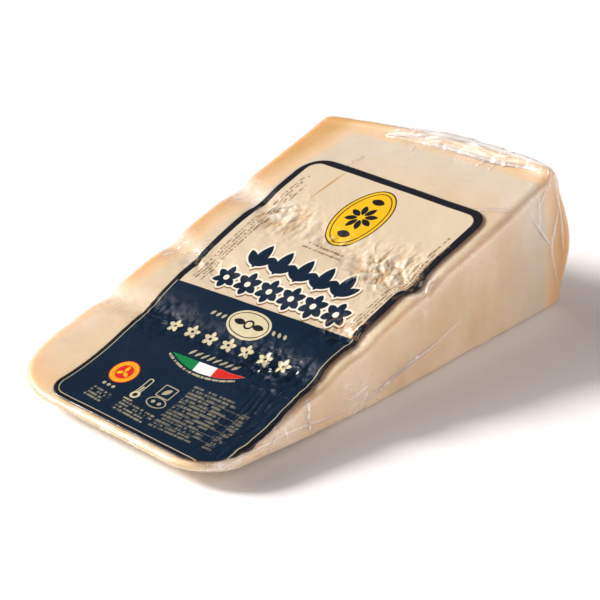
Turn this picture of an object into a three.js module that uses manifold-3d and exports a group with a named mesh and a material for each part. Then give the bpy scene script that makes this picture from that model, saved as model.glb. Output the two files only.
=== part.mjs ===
// A wedge of hard cheese, vacuum-packed in clear film, lying on one of its two cut faces.
// The upper cut face carries a printed label. Millimetres: X runs from the worn tip to the
// rind, Y across the wedge towards the wheel's flat side, and Z up.

import * as THREE from 'three';
import { mergeVertices } from 'three/addons/utils/BufferGeometryUtils.js';
import loadManifold from 'manifold-3d';

const { abs, exp, hypot, max, min, pow, sin, sqrt, tan } = Math;
const { clamp, degToRad, lerp } = THREE.MathUtils;

// The wedge, as it was cut from the wheel
const length = 206; // along the base, from the worn tip to the rind
const width = 121; // half of the wheel's height
const cutAngle = degToRad(16.3); // between the two cut faces
const tipHeight = 3.4; // where the upper cut plane crosses the tip
const rindLean = 5; // how far the rind's arc leans in by its upper edge
const barrelSag = 10.5; // how far the barrel-shaped rind falls back by the wheel's flat side
const barrelMiddle = -38; // where the rind stands furthest out

// The thin tip, which curls up off the surface
const lipLift = 6.4; // underside of the tip above the surface
const lipThickness = 3.2;
const lipReach = 22; // how far the tip's thickening carries along the upper face
const lipFade = 1.5; // how sharply that thickening ends
const restStart = 90; // from here to the rind the wedge lies flat
const liftFade = 1.4; // how sharply the underside curls up

// Corners of the plan and the edges that the tight film rounds off
const tipCornerLeft = 33;
const tipCornerRight = 22;
const rindCorner = 5;
const edgeRadius = 3.5;
const edgeShare = 0.42; // the most of the wedge's thickness that one edge may round off
const rindTaper = 5; // how late the plan turns from the tip's outline to the rind's
const sideSwell = 1.2; // of the standing faces, at half height
const leftSwell = 1; // of the left side, at half length
const rindOnly = 12; // how late the film's swelling turns to push the rind out too

// Dents where the film sinks into cracks that run across the upper face
const dents = [
  { right: 120, left: 134.5, depth: 1.9, reach: 7 },
  { right: 83, left: 95, depth: 1.7, reach: 6.5 },
  { right: 60, left: 59, depth: 1.6, reach: 6.5 },
];
const dentDrift = 1.7; // how late a dent turns towards its left end
const middleDepth = 0.4; // share of a dent's depth that is left at half width
const middleFade = 1.5; // how sharply a dent deepens towards its two ends

// Folds of the film at the rind
const weltHeight = 2.2;
const weltReach = 2.4;
const weltInset = 4; // from the rind's upper edge to the welt
const weltEnd = 0.75; // share of the width over which the welt rises
const earHeight = 2.2; // pinched film that stands off the rind's right corner
const earReach = 8;

// The label, laid on the upper face and drawn in and out by the film
const labelStart = 2.4;
const labelEnd = 164.6;
const labelLeft = { rind: 42.9, tip: 31.5, from: 2, to: 125 };
const labelRight = { rind: -53.4, tip: -59.8, from: 16, to: 90 };
const labelCorners = { rindLeft: 12, tipLeft: 9, tipRight: 19.5, rindRight: 8 };
const labelGap = 0.34;
const labelThickness = 0.4;
const labelClear = 10; // how far the label's cutting block reaches past the wedge
const labelPoints = 144; // round its outline

// Grid lines over the plan
const edgeLines = [0, 0.4, 1.2, 2.4, 4]; // measured in from every side
const edgeWidth = edgeLines.at(-1);
const tipLines = 7; // after those, each step wider than the last
const tipWiden = 0.5;
const coarseStep = 5.2;
const fineStep = 3.1; // where a dent crosses
const weltLines = [10.4, 8, 6]; // under the welt, measured in from the rind
const crossSteps = 21;
const wallRows = 5;
const restPlate = { from: 105, to: 190, halfWidth: 42 }; // the flat middle of the base

const rindHeight = tipHeight + length * tan(cutAngle);

function smoothStep(value) {
  const t = clamp(value, 0, 1);
  return t * t * (3 - 2 * t);
}

// Height of the upper cut face without its edges, thickened towards the tip
function upperHeight(x) {
  const curl = lipLift + lipThickness - tipHeight;
  return tipHeight + x * tan(cutAngle) + curl * exp(-pow(max(x, 0) / lipReach, lipFade));
}

// Height of the lower cut face, which curls up towards the tip
function lowerHeight(x) {
  return lipLift * pow(clamp(1 - x / restStart, 0, 1), liftFade);
}

// Depth of the dents at a point of the upper face
function dentDepth(x, y) {
  const across = clamp(0.5 + y / width, 0, 1);
  let depth = 0;
  for (const dent of dents) {
    const path = lerp(dent.right, dent.left, pow(across, dentDrift));
    const share = lerp(middleDepth, 1, pow(abs(2 * across - 1), middleFade));
    depth += dent.depth * share * exp(-pow((x - path) / dent.reach, 2));
  }
  return depth;
}

// Height of the film's welt, which grows from the left side to the right
function weltRise(x, y) {
  const ridge = x - (rindReach(rindHeight, y) - weltInset);
  return weltHeight * smoothStep(weltEnd - y / width) * exp(-pow(ridge / weltReach, 2));
}

// Where the rind stands, at a height and a place across the wedge
function rindReach(z, y) {
  const fall = (y - barrelMiddle) / (width / 2 - barrelMiddle);
  return length - rindLean * (z / rindHeight) ** 2 - barrelSag * fall ** 2;
}

// A grid place moved onto the plan with its round corners, and its distance from the outline
function planPlace(u, v) {
  const corners = [
    { far: 0, side: 1, radius: tipCornerLeft },
    { far: 0, side: -1, radius: tipCornerRight },
    { far: 1, side: 1, radius: rindCorner },
    { far: 1, side: -1, radius: rindCorner },
  ];
  const inset = min(u, length - u, width / 2 - abs(v));
  for (const { far, side, radius } of corners) {
    const alongIn = radius - (far ? length - u : u);
    const acrossIn = radius - (width / 2 - side * v);
    if (alongIn <= 0 || acrossIn <= 0) continue;
    const pull = max(alongIn, acrossIn) / hypot(alongIn, acrossIn);
    const x = radius - alongIn * pull;
    return {
      x: far ? length - x : x,
      y: side * (width / 2 - radius + acrossIn * pull),
      inset,
    };
  }
  return { x: u, y: v, inset };
}

// How far the film stands off the outline between the base and the upper face
function sideBulge(place, rise) {
  const swell = sideSwell * sin(Math.PI * rise) * clamp(place.x / length, 0, 1);
  const fromCorner = hypot(place.x - length, place.y + width / 2);
  return swell + earHeight * pow(sin(Math.PI * rise), 2) * exp(-pow(fromCorner / earReach, 2));
}

// A point of the skin: rise 0 is the underside, 1 the upper face, between them the outline
function skinPoint(u, v, rise) {
  const place = planPlace(u, v);
  const along = place.x / length;
  const drawnIn = (z) => place.x + along ** rindTaper * (rindReach(z, place.y) - length);
  const topX = drawnIn(upperHeight(place.x));
  const top = upperHeight(topX) - dentDepth(topX, place.y) + weltRise(topX, place.y);
  const bottom = lowerHeight(place.x);
  const radius = min(edgeRadius, edgeShare * (top - bottom));
  const rounding = radius - sqrt(radius ** 2 - max(radius - place.inset, 0) ** 2);
  const z = lerp(bottom + rounding, top - rounding, rise);
  const out = sideBulge(place, rise);
  const side = (2 * place.y) / width;
  const swell = leftSwell * sin(Math.PI * along) * clamp(side, 0, 1);
  return new THREE.Vector3(
    drawnIn(z) + out * along ** rindOnly,
    place.y + swell + out * side,
    z,
  );
}

// Grid lines along the wedge, closer together where a dent crosses
function alongLines() {
  const lines = [...edgeLines];
  for (let step = 1; step <= tipLines; step += 1) {
    lines.push(lines.at(-1) + 2 + tipWiden * step);
  }
  const lastWelt = length - weltLines[0];
  while (lines.at(-1) < lastWelt - fineStep) {
    const here = lines.at(-1);
    const crossed = dents.some(({ right, left, reach }) =>
      here > min(right, left) - 2 * reach && here < max(right, left) + reach);
    lines.push(min(here + (crossed ? fineStep : coarseStep), lastWelt - 2));
  }
  const rindSide = [...weltLines, ...edgeLines.toReversed()];
  return [...lines, ...rindSide.map((line) => length - line)];
}

function acrossLines() {
  const side = edgeLines.map((line) => line - width / 2);
  const inner = [];
  for (let step = 1; step < crossSteps; step += 1) {
    inner.push(lerp(edgeWidth - width / 2, width / 2 - edgeWidth, step / crossSteps));
  }
  return [...side, ...inner, ...side.map((line) => -line).reverse()];
}

// The outline of the grid from above, anticlockwise
function outline(us, vs) {
  const right = us.slice(0, -1).map((u) => [u, vs[0]]);
  const rind = vs.slice(0, -1).map((v) => [us.at(-1), v]);
  const left = us.slice(1).reverse().map((u) => [u, vs.at(-1)]);
  const tip = vs.slice(1).reverse().map((v) => [us[0], v]);
  return [...right, ...rind, ...left, ...tip];
}

function addQuad(triangles, a, b, c, d) {
  triangles.push([a, b, c], [a, c, d]);
}

// Standing sides, from the underside's edge up to the upper face's edge
function addSides(triangles, us, vs) {
  const ring = outline(us, vs);
  ring.forEach((start, index) => {
    const end = ring[(index + 1) % ring.length];
    for (let row = 0; row < wallRows; row += 1) {
      const low = row / wallRows;
      const high = (row + 1) / wallRows;
      addQuad(triangles, skinPoint(...start, low), skinPoint(...end, low),
        skinPoint(...end, high), skinPoint(...start, high));
    }
  });
}

function addUpperFace(triangles, us, vs) {
  for (let i = 0; i < us.length - 1; i += 1) {
    for (let j = 0; j < vs.length - 1; j += 1) {
      addQuad(triangles, skinPoint(us[i], vs[j], 1), skinPoint(us[i + 1], vs[j], 1),
        skinPoint(us[i + 1], vs[j + 1], 1), skinPoint(us[i], vs[j + 1], 1));
    }
  }
}

// The underside's rounded edge, as a frame of grid cells round a plainer middle
function addUnderEdge(triangles, us, vs, rim) {
  for (let i = 0; i < us.length - 1; i += 1) {
    for (let j = 0; j < vs.length - 1; j += 1) {
      const inner = i >= rim && i < us.length - 1 - rim && j >= rim && j < vs.length - 1 - rim;
      if (inner) continue;
      addQuad(triangles, skinPoint(us[i], vs[j + 1], 0), skinPoint(us[i + 1], vs[j + 1], 0),
        skinPoint(us[i + 1], vs[j], 0), skinPoint(us[i], vs[j], 0));
    }
  }
}

// The underside's middle: strips up to where it lies flat, then one flat face round a plate
function addUnderMiddle(triangles, us, vs, rim) {
  const right = vs[rim];
  const left = vs.at(-1 - rim);
  const under = (u, v) => skinPoint(u, v, 0);
  const flatFrom = us.findIndex((u) => u >= restStart);
  const acrossInner = vs.slice(rim, vs.length - rim);
  for (let j = 0; j < acrossInner.length - 1; j += 1) {
    triangles.push([under(us[rim + 1], right), under(us[rim], acrossInner[j]),
      under(us[rim], acrossInner[j + 1])]);
  }
  triangles.push([under(us[rim], left), under(us[rim + 1], left), under(us[rim + 1], right)]);
  for (let i = rim + 1; i < flatFrom; i += 1) {
    addQuad(triangles, under(us[i], left), under(us[i + 1], left),
      under(us[i + 1], right), under(us[i], right));
  }
  addFlatBase(triangles, us.slice(flatFrom, us.length - rim), acrossInner, under);
}

// The flat underside, as one contour with the plate left out of it and laid in again
function addFlatBase(triangles, us, vs, under) {
  const edge = outline(us, vs);
  const open = edge.slice(0, edge.length - vs.length + 2); // the tip's side is one long edge
  const contour = open.map(([u, v]) => under(u, v));
  const { from, to, halfWidth } = restPlate;
  const plate = [[from, -halfWidth], [from, halfWidth], [to, halfWidth], [to, -halfWidth]]
    .map(([x, y]) => new THREE.Vector3(x, y, 0));
  const points = [...contour, ...plate];
  for (const [a, b, c] of THREE.ShapeUtils.triangulateShape(contour, [plate])) {
    const facesUp = signedArea(points[a], points[b], points[c]) > 0;
    triangles.push(facesUp ? [points[c], points[b], points[a]] : [points[a], points[b], points[c]]);
  }
  addQuad(triangles, ...plate);
}

function signedArea(a, b, c) {
  return (b.x - a.x) * (c.y - a.y) - (b.y - a.y) * (c.x - a.x);
}

function solidGeometry(triangles) {
  const geometry = new THREE.BufferGeometry().setFromPoints(triangles.flat());
  return mergeVertices(geometry, 1e-4);
}

function wedgeGeometry() {
  const us = alongLines();
  const vs = acrossLines();
  const rim = edgeLines.length - 1;
  const triangles = [];
  addUpperFace(triangles, us, vs);
  addSides(triangles, us, vs);
  addUnderEdge(triangles, us, vs, rim);
  addUnderMiddle(triangles, us, vs, rim);
  return solidGeometry(triangles);
}

// A place a small way off the upper face, square to it
function raised(u, v, height) {
  const step = edgeLines[1] / 2;
  const along = skinPoint(u + step, v, 1).sub(skinPoint(u - step, v, 1));
  const across = skinPoint(u, v + step, 1).sub(skinPoint(u, v - step, 1));
  return skinPoint(u, v, 1).addScaledVector(along.cross(across).normalize(), height);
}

// A sheet that lies a small gap off the upper face and follows its dents and round edges
function labelSheet() {
  const us = alongLines().slice(1, 1 - edgeLines.length);
  const vs = acrossLines().slice(1, 1 - edgeLines.length);
  const high = labelGap + labelThickness;
  const triangles = [];
  for (let i = 0; i < us.length - 1; i += 1) {
    for (let j = 0; j < vs.length - 1; j += 1) {
      const cell = [[us[i], vs[j]], [us[i + 1], vs[j]], [us[i + 1], vs[j + 1]], [us[i], vs[j + 1]]];
      addQuad(triangles, ...cell.map(([u, v]) => raised(u, v, high)));
      const [a, b, c, d] = cell.map(([u, v]) => raised(u, v, labelGap));
      triangles.push([c, b, a], [d, c, a]);
    }
  }
  const ring = outline(us, vs);
  ring.forEach((start, index) => {
    const end = ring[(index + 1) % ring.length];
    addQuad(triangles, raised(...start, labelGap), raised(...end, labelGap),
      raised(...end, high), raised(...start, high));
  });
  return solidGeometry(triangles);
}

// Where the label's two long borders run, by the distance from the tip
function labelBorder({ rind, tip, from, to }, x) {
  return lerp(tip, rind, smoothStep((x - from) / (to - from)));
}

// A place on the label, by its distance from the tip and its share of the width from the right
function labelPlace(x, share) {
  return new THREE.Vector2(x, lerp(labelBorder(labelRight, x), labelBorder(labelLeft, x), share));
}

// An upright block with the label's outline
function labelBlock() {
  const broad = labelLeft.rind - labelRight.rind;
  const flat = new THREE.Shape();
  const addCorner = (along, across, radius, quarter) => {
    const x = along ? labelEnd - radius : labelStart + radius;
    const y = across ? broad - radius : radius;
    flat.absarc(x, y, radius, (quarter * Math.PI) / 2, ((quarter + 1) * Math.PI) / 2, false);
  };
  addCorner(1, 1, labelCorners.rindLeft, 0);
  addCorner(0, 1, labelCorners.tipLeft, 1);
  addCorner(0, 0, labelCorners.tipRight, 2);
  addCorner(1, 0, labelCorners.rindRight, 3);
  const even = flat.getSpacedPoints(labelPoints).slice(0, -1);
  const outlinePoints = even.map(({ x, y }) => labelPlace(x, y / broad));
  const block = new THREE.ExtrudeGeometry(new THREE.Shape(outlinePoints),
    { depth: rindHeight + 2 * labelClear, bevelEnabled: false });
  block.translate(0, 0, -labelClear);
  block.deleteAttribute('normal');
  block.deleteAttribute('uv');
  return mergeVertices(block, 1e-4);
}

function toSolid(wasm, geometry) {
  const vertProperties = new Float32Array(geometry.attributes.position.array);
  const triVerts = new Uint32Array(geometry.index.array);
  return new wasm.Manifold(new wasm.Mesh({ numProp: 3, vertProperties, triVerts }));
}

function toGeometry(solid) {
  const { vertProperties, triVerts, numProp } = solid.getMesh();
  const points = [];
  for (let at = 0; at < vertProperties.length; at += numProp) {
    points.push(new THREE.Vector3().fromArray(vertProperties, at));
  }
  return new THREE.BufferGeometry().setFromPoints(points).setIndex([...triVerts]);
}

async function labelGeometry() {
  const wasm = await loadManifold();
  wasm.setup();
  return toGeometry(toSolid(wasm, labelSheet()).intersect(toSolid(wasm, labelBlock())));
}

function namedMesh(name, geometry, finish) {
  const mesh = new THREE.Mesh(geometry, new THREE.MeshStandardMaterial(finish));
  mesh.name = name;
  geometry.computeVertexNormals();
  return mesh;
}

const cheeseFinish = { color: 0xe9d2a6, roughness: 0.35, metalness: 0 };
const labelFinish = { color: 0x2b3345, roughness: 0.3, metalness: 0 };

const pack = new THREE.Group();
pack.add(namedMesh('wrapped_wedge', wedgeGeometry(), cheeseFinish));
pack.add(namedMesh('label', await labelGeometry(), labelFinish));

// The origin lies under the middle of the pack, on the surface that it rests on
const box = new THREE.Box3().setFromObject(pack);
const middle = box.getCenter(new THREE.Vector3());
pack.position.set(-middle.x, -middle.y, -box.min.z);
pack.updateMatrixWorld(true);

export default pack;
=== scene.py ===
import math
from itertools import groupby

import bmesh
import bpy
from mathutils import Matrix, Vector, noise
from mathutils.bvhtree import BVHTree


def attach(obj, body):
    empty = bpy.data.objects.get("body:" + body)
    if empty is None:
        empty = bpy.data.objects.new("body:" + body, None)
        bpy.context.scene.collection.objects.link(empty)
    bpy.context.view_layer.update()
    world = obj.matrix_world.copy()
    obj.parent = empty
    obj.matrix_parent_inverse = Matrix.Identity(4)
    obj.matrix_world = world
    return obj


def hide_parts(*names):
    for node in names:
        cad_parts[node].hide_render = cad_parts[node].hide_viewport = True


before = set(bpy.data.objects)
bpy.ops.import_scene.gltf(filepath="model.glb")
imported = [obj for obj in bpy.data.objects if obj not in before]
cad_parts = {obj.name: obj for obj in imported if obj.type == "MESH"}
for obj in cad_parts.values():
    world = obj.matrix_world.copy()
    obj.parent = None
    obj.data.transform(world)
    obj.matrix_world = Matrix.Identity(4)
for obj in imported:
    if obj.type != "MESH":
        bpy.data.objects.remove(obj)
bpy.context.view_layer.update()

mm = 0.001
origin = Vector((-103.6998, 0.4631, 0))  # the worn tip's place in the frame, in mm

# The wedge, in mm from its worn tip: x to the rind, y to the wheel's flat side, z up
wedge = {
    "length": 206,
    "width": 121,
    "cutAngle": math.radians(16.3),
    "tipHeight": 3.4,
    "rindLean": 5,
    "barrelSag": 10.5,
    "barrelMiddle": -38,
    "lipLift": 6.4,
    "lipThickness": 3.2,
    "lipReach": 22,
    "restStart": 90,
    "edgeRadius": 3.5,
    "edgeShare": 0.42,
    "softEdge": 1.5,
    "softAlong": (115, 180),  # where the upper edge turns softer, towards the right corner
    "softAcross": (20, 50),
    "corners": {(0, 1): 33, (0, -1): 22, (1, 1): 5, (1, -1): 5},  # (rind end, side): radius
    "sideSwell": 1.2,
    "leftSwell": 1,
    "dents": [  # right end, left end, depth, reach
        (120, 134.5, 1.9, 7),
        (83, 95, 1.7, 6.5),
        (60, 59, 1.6, 6.5),
    ],
    "dentDrift": 1.7,
    "middleDepth": 0.4,
    "weltHeight": 2.2,
    "weltReach": 2.4,
    "weltInset": 4,
    "weltEnd": 0.75,
    "earHeight": 2.2,
    "earReach": 8,
}
rindHeight = wedge["tipHeight"] + wedge["length"] * math.tan(wedge["cutAngle"])


def clamp(value, low=0.0, high=1.0):
    return max(low, min(high, value))


def mix(a, b, share):
    return a + (b - a) * share


def smoothStep(value, start=0.0, end=1.0):
    t = clamp((value - start) / (end - start))
    return t * t * (3 - 2 * t)


def upperHeight(x):
    curl = wedge["lipLift"] + wedge["lipThickness"] - wedge["tipHeight"]
    fade = math.exp(-((max(x, 0) / wedge["lipReach"]) ** 1.5))
    return wedge["tipHeight"] + x * math.tan(wedge["cutAngle"]) + curl * fade


def lowerHeight(x):
    return wedge["lipLift"] * clamp(1 - x / wedge["restStart"]) ** 1.4


def dentDepth(x, y):
    across = clamp(0.5 + y / wedge["width"])
    depth = 0
    for right, left, deep, reach in wedge["dents"]:
        path = mix(right, left, across ** wedge["dentDrift"])
        share = mix(wedge["middleDepth"], 1, abs(2 * across - 1) ** 1.5)
        depth += deep * share * math.exp(-(((x - path) / reach) ** 2))
    return depth


def rindReach(z, y):
    half = wedge["width"] / 2
    fall = (y - wedge["barrelMiddle"]) / (half - wedge["barrelMiddle"])
    lean = wedge["rindLean"] * (z / rindHeight) ** 2
    return wedge["length"] - lean - wedge["barrelSag"] * fall**2


def weltRise(x, y):
    ridge = (x - rindReach(rindHeight, y) + wedge["weltInset"]) / wedge["weltReach"]
    grown = smoothStep(wedge["weltEnd"] - y / wedge["width"])
    return wedge["weltHeight"] * grown * math.exp(-(ridge**2))


def roundCorner(alongIn, acrossIn, radius):
    # from a place's distances past the round corner's centre to its distances from both edges
    pull = max(alongIn, acrossIn) / math.hypot(alongIn, acrossIn)
    return radius - alongIn * pull, radius - acrossIn * pull


def planPlace(u, v):
    # a grid place moved onto the plan with its round corners, and its distance from the outline
    length, half = wedge["length"], wedge["width"] / 2
    inset = min(u, length - u, half - abs(v))
    for (far, side), radius in wedge["corners"].items():
        alongIn = radius - (length - u if far else u)
        acrossIn = radius - (half - side * v)
        if alongIn > 0 and acrossIn > 0:
            x, fromSide = roundCorner(alongIn, acrossIn, radius)
            return (length - x if far else x), side * (half - fromSide), inset
    return u, v, inset


def skinPoint(u, v, rise):
    # rise 0 is the underside, 1 the upper face, and between them the standing outline
    length, width = wedge["length"], wedge["width"]
    placeX, placeY, inset = planPlace(u, v)
    along, side = placeX / length, 2 * placeY / width
    topX = placeX + along**5 * (rindReach(upperHeight(placeX), placeY) - length)
    top = upperHeight(topX) - dentDepth(topX, placeY) + weltRise(topX, placeY)
    bottom = lowerHeight(placeX)
    radius = min(wedge["edgeRadius"], wedge["edgeShare"] * (top - bottom))
    rounding = radius - math.sqrt(radius**2 - max(radius - inset, 0) ** 2)
    soft = smoothStep(placeX, *wedge["softAlong"]) * smoothStep(-placeY, *wedge["softAcross"])
    upperRadius = radius + wedge["softEdge"] * soft
    upperRounding = upperRadius - math.sqrt(upperRadius**2 - max(upperRadius - inset, 0) ** 2)
    z = mix(bottom + rounding, top - upperRounding, rise)
    lobe = math.sin(math.pi * rise)
    corner = math.hypot(placeX - length, placeY + width / 2) / wedge["earReach"]
    out = wedge["sideSwell"] * lobe * clamp(along)
    out += wedge["earHeight"] * lobe**2 * math.exp(-(corner**2))
    swell = wedge["leftSwell"] * math.sin(math.pi * along) * clamp(side)
    x = placeX + along**5 * (rindReach(z, placeY) - length) + out * along**12
    return Vector((x, placeY + swell + out * side, z))


# Crumpled places of the upper face: middle x, middle y, half length, half width, strength
crumples = [
    (127, 24, 11, 15, 1.0),
    (121, -38, 12, 16, 1.2),
    (124, -8, 7, 18, 0.35),
    (86, -46, 8, 12, 0.9),
    (92, 36, 8, 14, 0.55),
    (57, -36, 9, 22, 1.0),
    (58, 28, 8, 14, 0.7),
    (57, -2, 6, 22, 0.3),
]
relief = {
    "crumbSize": 6.2,
    "crumbHeight": 1.25,
    "broadCrumbs": 1.7,
    "fineCrumbs": 0.8,
    "soft": 0.35,
    "softFine": 0.16,
    "side": 0.22,
    "sideFine": 0.12,
    "foot": 1.1,
}


def crumpleShare(x, y):
    share = 0
    for middleX, middleY, halfLong, halfWide, strength in crumples:
        apart = ((x - middleX) / halfLong) ** 2 + ((y - middleY) / halfWide) ** 2
        share += strength * math.exp(-apart)
    return clamp(share, 0, 1.2)


def crumbs(x, y):
    # rounded lumps with sharp valleys between them, about -0.5 to 0.6
    place = Vector((x * 0.8 + y * 0.25, y, 0)) / relief["crumbSize"]
    broad = abs(noise.noise(place)) * relief["broadCrumbs"]
    fine = abs(noise.noise(place * 2.3 + Vector((5.1, 2.7, 0)))) * relief["fineCrumbs"]
    return broad + fine - 0.5


def upperRelief(x, y):
    # height of the crumbs and soft hollows that show through the film and the label
    soft = relief["soft"] * noise.noise(Vector((x / 31, y / 26, 1.7)))
    soft += relief["softFine"] * noise.noise(Vector((x / 11, y / 9, 4.2)))
    return soft + crumpleShare(x, y) * relief["crumbHeight"] * crumbs(x, y)


def linePlaces(length, step, edges):
    # grid lines from 0 to length, close together at both ends
    count = round((length - 2 * edges[-1]) / step)
    inner = [mix(edges[-1], length - edges[-1], i / count) for i in range(1, count)]
    return [*edges, *inner, *[length - edge for edge in reversed(edges)]]


def blockGrid(cuts):
    # a cube of side 1 with even cuts along its three directions
    bm = bmesh.new()
    bmesh.ops.create_cube(bm, size=1)
    for axis, count in enumerate(cuts):
        edges = [e for e in bm.edges if abs((e.verts[0].co - e.verts[1].co)[axis]) > 1e-6]
        bmesh.ops.subdivide_edges(bm, edges=edges, cuts=count, use_grid_fill=True)
    return bm


def newObject(name, data):
    made = bpy.data.objects.new(name, data)
    bpy.context.scene.collection.objects.link(made)
    return made


def makePiece(name, bm, material):
    for face in bm.faces:
        face.smooth = True
    bmesh.ops.scale(bm, vec=(mm, mm, mm), verts=bm.verts)
    mesh = bpy.data.meshes.new(name)
    bm.to_mesh(mesh)
    bm.free()
    mesh.materials.append(material)
    piece = newObject(name, mesh)
    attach(piece, "root")
    return piece


def feed(socket, value):
    # a link from another node's socket, or else the socket's own value
    if isinstance(value, bpy.types.NodeSocket):
        value.id_data.links.new(value, socket)
    elif socket.type == "RGBA":
        socket.default_value = (*value[:3], 1)
    else:
        socket.default_value = value


def addNode(tree, kind, inputs=None, **settings):
    node = tree.nodes.new("ShaderNode" + kind)
    for name, value in settings.items():
        setattr(node, name, value)
    for name, value in (inputs or {}).items():
        feed(node.inputs[name], value)
    return node


def treeOf(*values):
    # the node tree of the first socket among some values
    return next(value.id_data for value in values if isinstance(value, bpy.types.NodeSocket))


def calc(operation, *values):
    inputs = dict(enumerate(values))
    return addNode(treeOf(*values), "Math", inputs, operation=operation).outputs[0]


def vectorCalc(operation, *values):
    node = addNode(treeOf(*values), "VectorMath", dict(enumerate(values)), operation=operation)
    return node.outputs["Value" if operation in ("LENGTH", "DOT_PRODUCT") else "Vector"]


def plus(a, b):
    return calc("ADD", a, b)


def minus(a, b):
    return calc("SUBTRACT", a, b)


def times(a, b):
    return calc("MULTIPLY", a, b)


def negative(value):
    return times(value, -1.0)


def axes(place):
    return addNode(treeOf(place), "SeparateXYZ", {0: place}).outputs


def joined(x, y):
    return addNode(treeOf(x, y), "CombineXYZ", {"X": x, "Y": y}).outputs[0]


def choose(test, otherwise, chosen):
    return addNode(treeOf(test), "Mix", {0: test, 2: otherwise, 3: chosen}).outputs[0]


def blendColour(share, under, over):
    node = addNode(treeOf(share), "Mix", {0: share, 6: under, 7: over}, data_type="RGBA")
    return node.outputs[2]


def remap(value, low, high, start=0.0, end=1.0):
    return addNode(treeOf(value), "MapRange", {
        "Value": value, "From Min": low, "From Max": high, "To Min": start, "To Max": end}).outputs[0]


def noiseTexture(place, scale, detail, **inputs):
    return addNode(treeOf(place), "TexNoise", {
        "Vector": place, "Scale": scale, "Detail": detail, **inputs}).outputs


def attribute(tree, name):
    return addNode(tree, "Attribute", attribute_name=name).outputs["Fac"]


def newMaterial(name):
    material = bpy.data.materials.new(name)
    material.use_nodes = True
    material.node_tree.nodes.clear()
    return material, material.node_tree


def newGroup(name, takes, gives):
    group = bpy.data.node_groups.new(name, "ShaderNodeTree")
    kinds = {"value": "NodeSocketFloat", "place": "NodeSocketVector"}
    for title, (kind, default) in takes.items():
        socket = group.interface.new_socket(title, in_out="INPUT", socket_type=kinds[kind])
        if default is not None:
            socket.default_value = default
    for title, kind in gives.items():
        group.interface.new_socket(title, in_out="OUTPUT", socket_type=kinds[kind])
    start = group.nodes.new("NodeGroupInput")
    end = group.nodes.new("NodeGroupOutput")
    return group, start.outputs, end.inputs


def useGroup(group, inputs):
    return addNode(treeOf(*inputs.values()), "Group", inputs, node_tree=group).outputs


def makeWrinkleGroup():
    # height of fine film wrinkles, drawn out along one direction
    group, takes, gives = newGroup(
        "filmWrinkles",
        {"Place": ("place", None), "Stretch": ("place", (1, 1, 1)), "Scale": ("value", 120.0),
         "Crumple": ("value", 0.0), "Calm": ("value", 0.25)},
        {"Height": "value"})
    place = vectorCalc("MULTIPLY", takes["Place"], takes["Stretch"])
    bend = vectorCalc("MULTIPLY", noiseTexture(place, 30.0, 2.0)["Color"], (0.02, 0.02, 0.02))
    ridge = noiseTexture(vectorCalc("ADD", place, bend), takes["Scale"], 3.0)["Fac"]
    folded = calc("ABSOLUTE", minus(ridge, 0.5))
    sharp = calc("MAXIMUM", minus(1.0, times(folded, 6.0)), 0.0)
    strength = plus(takes["Crumple"], takes["Calm"])
    feed(gives["Height"], times(sharp, strength))
    return group


wrinkleGroup = makeWrinkleGroup()

cheeseLook = {
    "paste": (0.74, 0.58, 0.39),
    "pasteDeep": (0.67, 0.48, 0.275),
    "pale": (0.62, 0.54, 0.415),
    # painted warm glow of bounce light and light through the thin paste, towards the tip
    "tip": (0.78, 0.56, 0.31),
    # grain specks; the same colour is also painted as highlight on the crumbs' tops
    "grain": (0.84, 0.78, 0.68),
    "valleyShade": (0.50, 0.31, 0.12),
    # painted shade in the hollows between the crumbs
    "cutRind": (0.76, 0.51, 0.27),
    "deepRind": (0.62, 0.36, 0.13),
    "crust": (0.54, 0.30, 0.10),
    "rindWander": 7.0,  # mm, of the line where the rind begins
}


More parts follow.
